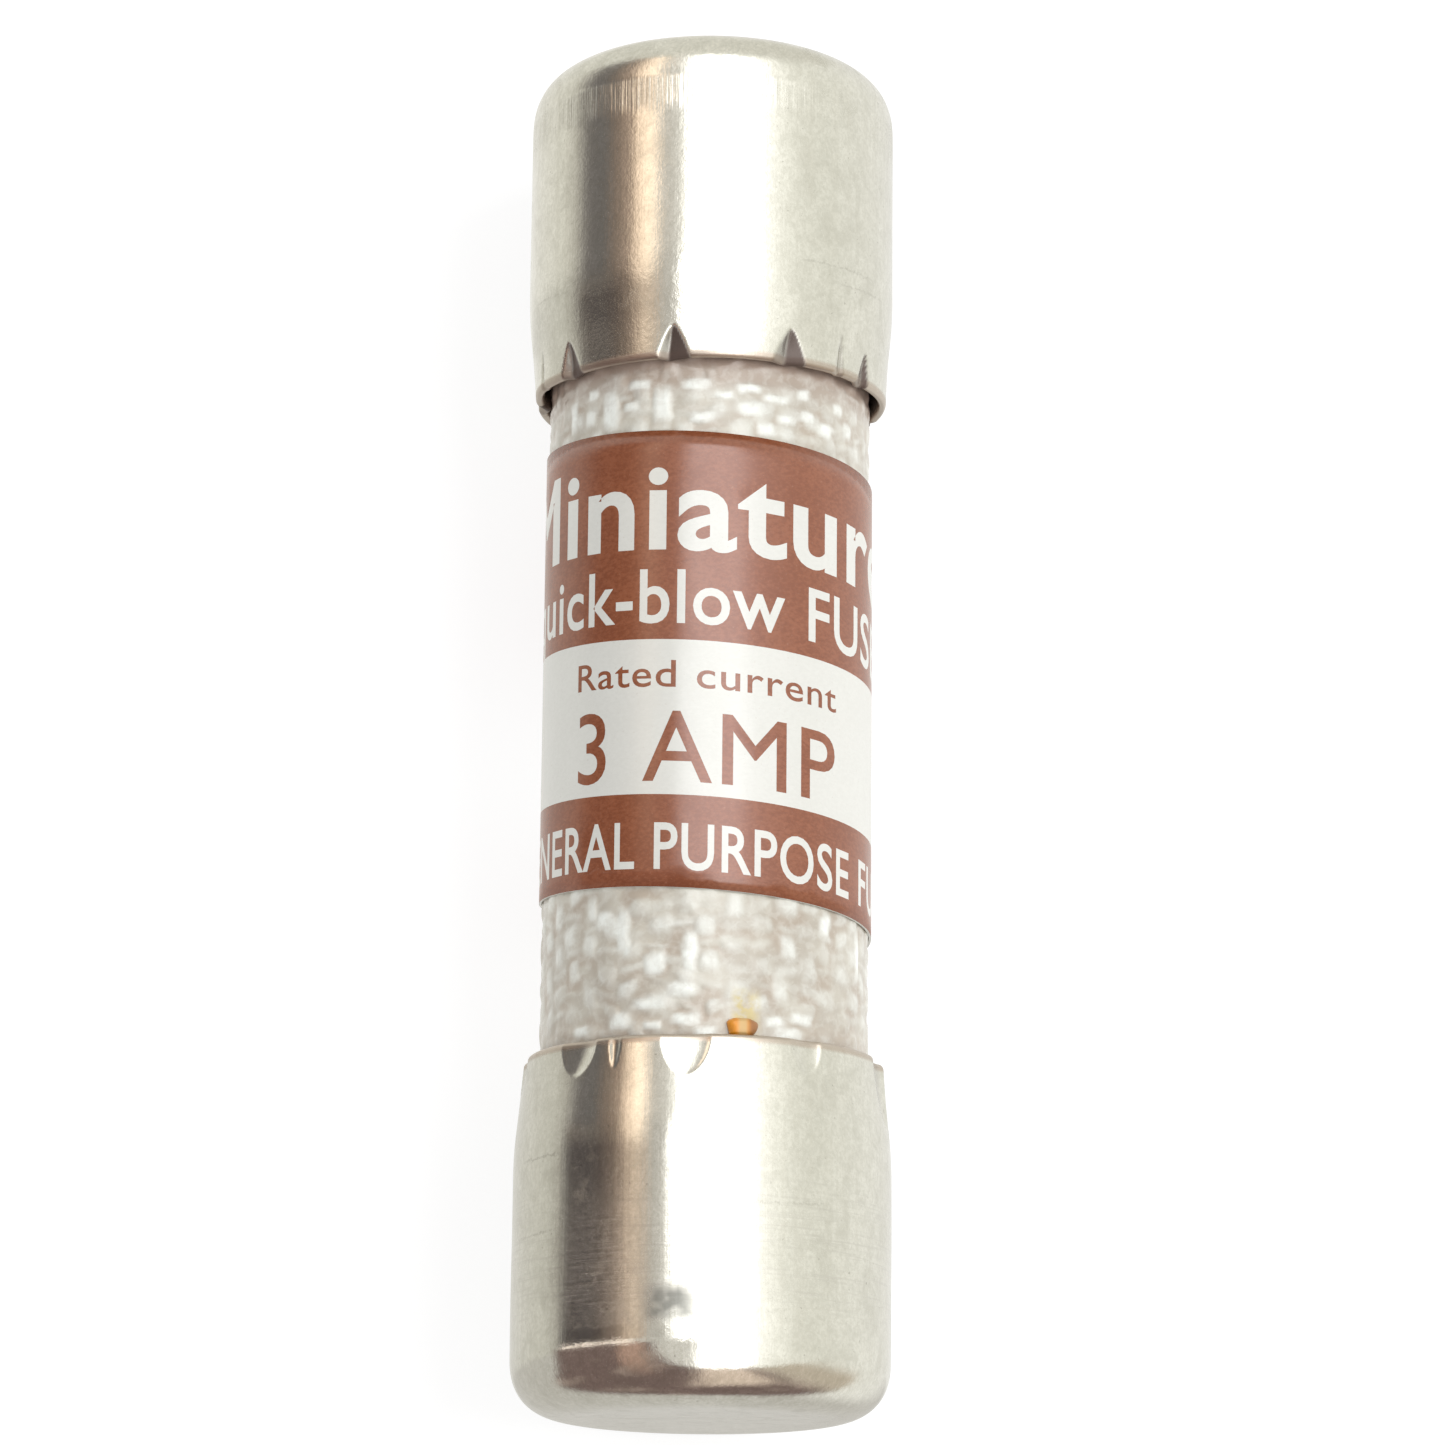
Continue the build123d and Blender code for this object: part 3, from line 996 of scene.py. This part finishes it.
fibre = speckled("vulcanised_fibre", (0.20, 0.05, 0.03), (0.28, 0.09, 0.05), (4, 4, 4), 0.55)
copper = speckled("link_copper", (0.85, 0.42, 0.26), (0.66, 0.30, 0.18), (5, 0.5, 5), 0.3, 1.0, 0.002)
solder = speckled("solder", (0.60, 0.60, 0.62), (0.45, 0.45, 0.48), (3, 3, 3), 0.35, 1.0, 0.01)
sand = speckled("quartz_sand", (0.72, 0.66, 0.56), (0.50, 0.43, 0.34), (6, 6, 6), 0.75, 0.0, 0.05)
for name, finish in (
    ("upper_washer", fibre),
    ("lower_washer", fibre),
    ("fuse_link", copper),
    ("upper_solder", solder),
    ("lower_solder", solder),
    ("sand_filler", sand),
):
    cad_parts[name].data.materials.clear()
    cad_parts[name].data.materials.append(finish)

# ---------------------------------------------------------------- floor and lights

FLOOR_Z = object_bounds()[0].z / MM
FLOOR_HALF = 900
FLOOR_GLOW = 0.77
TENT_RADIUS = 0.8
TENT_GAIN = 4.0
WORLD_STRENGTH = 0.62
SOFTBOX = (3.4, 3.4, 3.4)
# The softbox and the dark and warm cards beside it: degrees from straight up towards +X, and their light
TENT_STOPS = [
    (-180, (0.80, 0.79, 0.76)),
    (-130, (0.77, 0.76, 0.71)),
    (-108, (0.72, 0.71, 0.65)),
    (-97, (0.55, 0.53, 0.48)),
    (-85, (0.18, 0.165, 0.16)),
    (-72, (0.16, 0.15, 0.145)),
    (-64, (0.23, 0.18, 0.15)),
    (-54, (0.38, 0.285, 0.225)),
    (-47, (1.15, 0.90, 0.70)),
    (-40, (1.55, 1.28, 1.02)),
    (-36, (1.15, 0.98, 0.82)),
    (-31, (0.62, 0.59, 0.55)),
    (-22, (0.68, 0.66, 0.62)),
    (-17, (1.25, 1.24, 1.20)),
    (-11, SOFTBOX),
    (21, SOFTBOX),
    (29, (2.0, 2.0, 1.98)),
    (36, (1.50, 1.50, 1.46)),
    (46, (1.22, 1.22, 1.15)),
    (58, (1.05, 1.05, 0.98)),
    (75, (0.97, 0.97, 0.90)),
    (92, (1.01, 1.01, 0.95)),
    (130, (1.02, 1.02, 0.98)),
    (180, (0.90, 0.89, 0.86)),
]
HAZE = (0.36, 0.31, 0.27)
PALE_END = (0.86, 0.85, 0.78)
DEEP_SHADE = (0.08, 0.066, 0.066)
DULL_CARD = (0.33, 0.25, 0.20)
BRIGHT_GAP = (1.7, 1.5, 1.35)
GAP_END = (0.80, 0.78, 0.74)
TABLE_LIGHT = (0.66, 0.645, 0.61)
DARK_SIDE = (0.215, 0.155, 0.143)
DARK_SIDE_PATCH = (0.42, 0.33, 0.29)
EMBER = (0.56, 0.37, 0.29)
LIT_PATCH = (0.92, 0.76, 0.64)
PALE_TAIL = (0.68, 0.60, 0.50)
# How high the dark side beyond the lower end reaches: heading in degrees from -Y towards +X, and altitude
DARK_TOPS = [
    (-120, 59),
    (-75, 63),
    (-50, 61),
    (-25, 56),
    (0, 52),
    (25, 49),
    (45, 42),
    (65, 31),
    (80, 12),
    (95, 0),
]


def floor():
    """A plain pale table under the fuse."""
    corners = [(x * FLOOR_HALF, y * FLOOR_HALF, FLOOR_Z) for x, y in ((-1, -1), (1, -1), (1, 1), (-1, 1))]
    mesh = bpy.data.meshes.new("pale_floor")
    mesh.from_pydata([tuple(c * MM for c in p) for p in corners], [], [(0, 1, 2, 3)])
    made = bpy.data.objects.new("pale_floor", mesh)
    scene.collection.objects.link(made)
    surface, n, shader = new_material("pale_floor")
    cloud = n.noise((0.05, 0.05, 0.05), 3)
    tone = n.mix(n.spread(cloud, 0.3, 0.7), (0.34, 0.34, 0.34), (0.33, 0.33, 0.33))
    glow = {"Emission Color": (1.0, 1.0, 1.0), "Emission Strength": FLOOR_GLOW}
    n.feed(shader, {"Base Color": tone, "Roughness": 0.9, "Specular IOR Level": 0.0, **glow})
    mesh.materials.append(surface)
    made.visible_glossy = False
    made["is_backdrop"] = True


def dimmed(colour):
    """A light's colour as a share of the tent's strength."""
    return tuple(c / TENT_GAIN for c in colour)


def strip_light(n, around, towards):
    """The softbox and the cards beside it, by degrees round the fuse's axis and degrees towards +Y."""
    light = n.ramp(around, [(at, dimmed(colour)) for at, colour in TENT_STOPS])
    lift = n.times(n.spread(towards, 15.0, 19.0), n.spread(around, -10.8, -21.6))
    lift = n.maths("MULTIPLY_ADD", lift, 0.2, 1.0)
    light = n.add("ShaderNodeVectorMath", {0: light, "Scale": lift}, operation="SCALE").outputs[0]
    haze = n.times(n.band(towards, 10.0, 11.5, 13.5, 15.0), n.spread(around, -57.6, -68.4))
    haze = n.times(haze, n.spread(around, -95.4, -90.0, 0.0, 0.6))
    top_edge = n.maths("ADD", towards, n.spread(around, -64.8, -93.6, 0.0, 7.0))
    low_part = n.times(n.band(towards, 5.8, 6.8, 8.5, 20.0), n.band(around, -23.04, -16.56, -14.4, -7.2))
    deep = n.times(n.spread(towards, 16.0, 9.0), n.spread(around, -39.6, -57.6))
    deep = n.times(deep, n.spread(around, -99.0, -85.68))
    dull = n.times(n.spread(towards, 14.0, 9.0), n.band(around, -64.8, -50.4, -36.0, -30.6))
    return n.layers(
        light,
        [
            (haze, dimmed(HAZE)),
            (n.spread(top_edge, 47, 54), dimmed(PALE_END)),
            (low_part, dimmed(SOFTBOX)),
            (n.times(deep, 0.75), dimmed(DEEP_SHADE)),
            (n.times(dull, 0.6), dimmed(DULL_CARD)),
        ],
    )


def dark_side_light(n, heading, around, towards, side, altitude):
    """Uneven warm dark beyond the lower end, lighter in places."""
    patch = n.add("ShaderNodeTexNoise", {"Vector": heading, "Scale": 3.2, "Detail": 2.0}).outputs["Fac"]
    ember = n.times(n.band(around, -53.28, -46.8, -37.44, -30.24), n.spread(towards, -60, -15))
    lit_patch = n.times(n.band(side, -9.0, 7.2, 27.0, 39.6), n.spread(altitude, 0.0, 16.2))
    return n.layers(
        n.mix(n.spread(patch, 0.52, 0.66), dimmed(DARK_SIDE), dimmed(DARK_SIDE_PATCH)),
        [
            (n.times(ember, 0.9), dimmed(EMBER)),
            (n.times(lit_patch, 0.9), dimmed(LIT_PATCH)),
            (n.spread(side, 28.8, 54.0), dimmed(PALE_TAIL)),
        ],
    )


def tent_light(n):
    """What the shell shows in each direction, worked out in degrees."""
    where = n.add("ShaderNodeTexCoord").outputs["Object"]
    heading = n.add("ShaderNodeVectorMath", {0: where}, operation="NORMALIZE").outputs[0]
    parts = n.add("ShaderNodeSeparateXYZ", {"Vector": heading}).outputs
    around = n.degrees("ARCTAN2", parts["X"], parts["Z"])
    towards = n.degrees("ARCSINE", parts["Y"])
    side = n.degrees("ARCTAN2", parts["X"], n.times(parts["Y"], -1.0))
    altitude = n.degrees("ARCSINE", parts["Z"])

    # A thin bright gap between the strips and the dark side
    low_edge = n.maths("ADD", towards, n.spread(around, -90.0, -28.8, 0.0, -0.6))
    gap = n.times(n.spread(low_edge, 3.4, 2.9), n.spread(parts["X"], 0.08, -0.1))
    gap = n.times(gap, n.spread(parts["Z"], -0.1, 0.05))
    gap_light = n.mix(n.spread(around, -46.8, -36.0), dimmed(BRIGHT_GAP), dimmed(GAP_END))

    # The table, and above it the dark side as far up as its uneven top
    raised = n.maths("ADD", altitude, n.spread(side, -80.0, -45.0, -5.4, 11.7))
    table = n.times(n.spread(towards, 1.0, -3.0), n.spread(raised, -5.4, -16.2))
    table = n.times(table, n.spread(parts["X"], 0.6, 0.25))
    top = n.times(n.ramp(side, [(at, (high / 90,) * 3) for at, high in DARK_TOPS]), 90)
    dark = n.times(n.spread(n.maths("SUBTRACT", altitude, top), 2.7, -2.7), n.spread(raised, -17.1, -8.1))
    dark = n.times(dark, n.spread(low_edge, 2.2, 1.2), n.spread(side, 84.0, 64.0))
    return n.layers(
        strip_light(n, around, towards),
        [
            (gap, gap_light),
            (table, dimmed(TABLE_LIGHT)),
            (dark, dark_side_light(n, heading, around, towards, side, altitude)),
        ],
    )


def tent():
    """The studio that shiny surfaces reflect: a light shell all round that no other ray sees."""
    bpy.ops.mesh.primitive_uv_sphere_add(segments=48, ring_count=24, radius=TENT_RADIUS)
    made = bpy.context.object
    made.name = "studio_tent"
    surface = bpy.data.materials.new("studio_tent")
    surface.use_nodes = True
    surface.node_tree.nodes.clear()
    n = Nodes(surface.node_tree)
    glow = n.add("ShaderNodeEmission", {"Color": tent_light(n), "Strength": TENT_GAIN})
    n.add("ShaderNodeOutputMaterial", {"Surface": glow.outputs[0]})
    surface.cycles.emission_sampling = "NONE"
    made.data.materials.append(surface)
    for ray in ("camera", "diffuse", "shadow", "transmission", "volume_scatter"):
        setattr(made, f"visible_{ray}", False)
    made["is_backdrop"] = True


def soft_light(name, energy, size, place_at):
    """A square lamp at this place in millimetres, facing the fuse. Shiny surfaces see the tent instead."""
    lamp = bpy.data.lights.new(name, "AREA")
    lamp.energy = energy
    lamp.size = size
    made = bpy.data.objects.new(name, lamp)
    scene.collection.objects.link(made)
    made.location = Vector(place_at) * MM
    made.rotation_euler = (-Vector(place_at)).to_track_quat("-Z", "Y").to_euler()
    made.visible_glossy = False
    made.visible_camera = False


def soft_world():
    """Even white light from everywhere, which shiny surfaces don't see."""
    world = bpy.data.worlds.new("soft_world")
    world.use_nodes = True
    background = world.node_tree.nodes["Background"]
    background.inputs["Color"].default_value = (1, 1, 1, 1)
    background.inputs["Strength"].default_value = WORLD_STRENGTH
    world.cycles_visibility.glossy = False
    scene.world = world


floor()
tent()
soft_light("key_light", energy=1.5, size=0.35, place_at=(300, 60, 380))
soft_light("fill_light", energy=0.25, size=0.4, place_at=(-250, -150, 300))
soft_world()

# ---------------------------------------------------------------- camera

CAMERA_AT = (0.141, -32.741, 134.919)
CAMERA_TILT = math.radians(13.75)
CAMERA_PAN = math.radians(0.12)
CAMERA_ROLL = math.radians(0.55)
SENSOR_WIDTH = 36
LENS_LENGTH = 124.57


def camera():
    """Looks down at the label from beyond the fuse's lower end."""
    forward = Vector((math.tan(CAMERA_PAN), math.sin(CAMERA_TILT), -math.cos(CAMERA_TILT))).normalized()
    right = forward.cross(Vector((0, 1, 0))).normalized()
    up = right.cross(forward)
    c, s = math.cos(CAMERA_ROLL), math.sin(CAMERA_ROLL)
    right, up = c * right + s * up, c * up - s * right
    lens = bpy.data.cameras.new("camera")
    lens.sensor_width = SENSOR_WIDTH
    lens.lens = LENS_LENGTH
    lens.clip_start = 0.005
    lens.clip_end = 5
    made = bpy.data.objects.new("camera", lens)
    scene.collection.objects.link(made)
    turned = Matrix((right, up, -forward)).transposed().to_4x4()
    made.matrix_world = Matrix.Translation(Vector(CAMERA_AT) * MM) @ turned
    scene.camera = made


camera()
scene.view_settings.view_transform = "Standard"
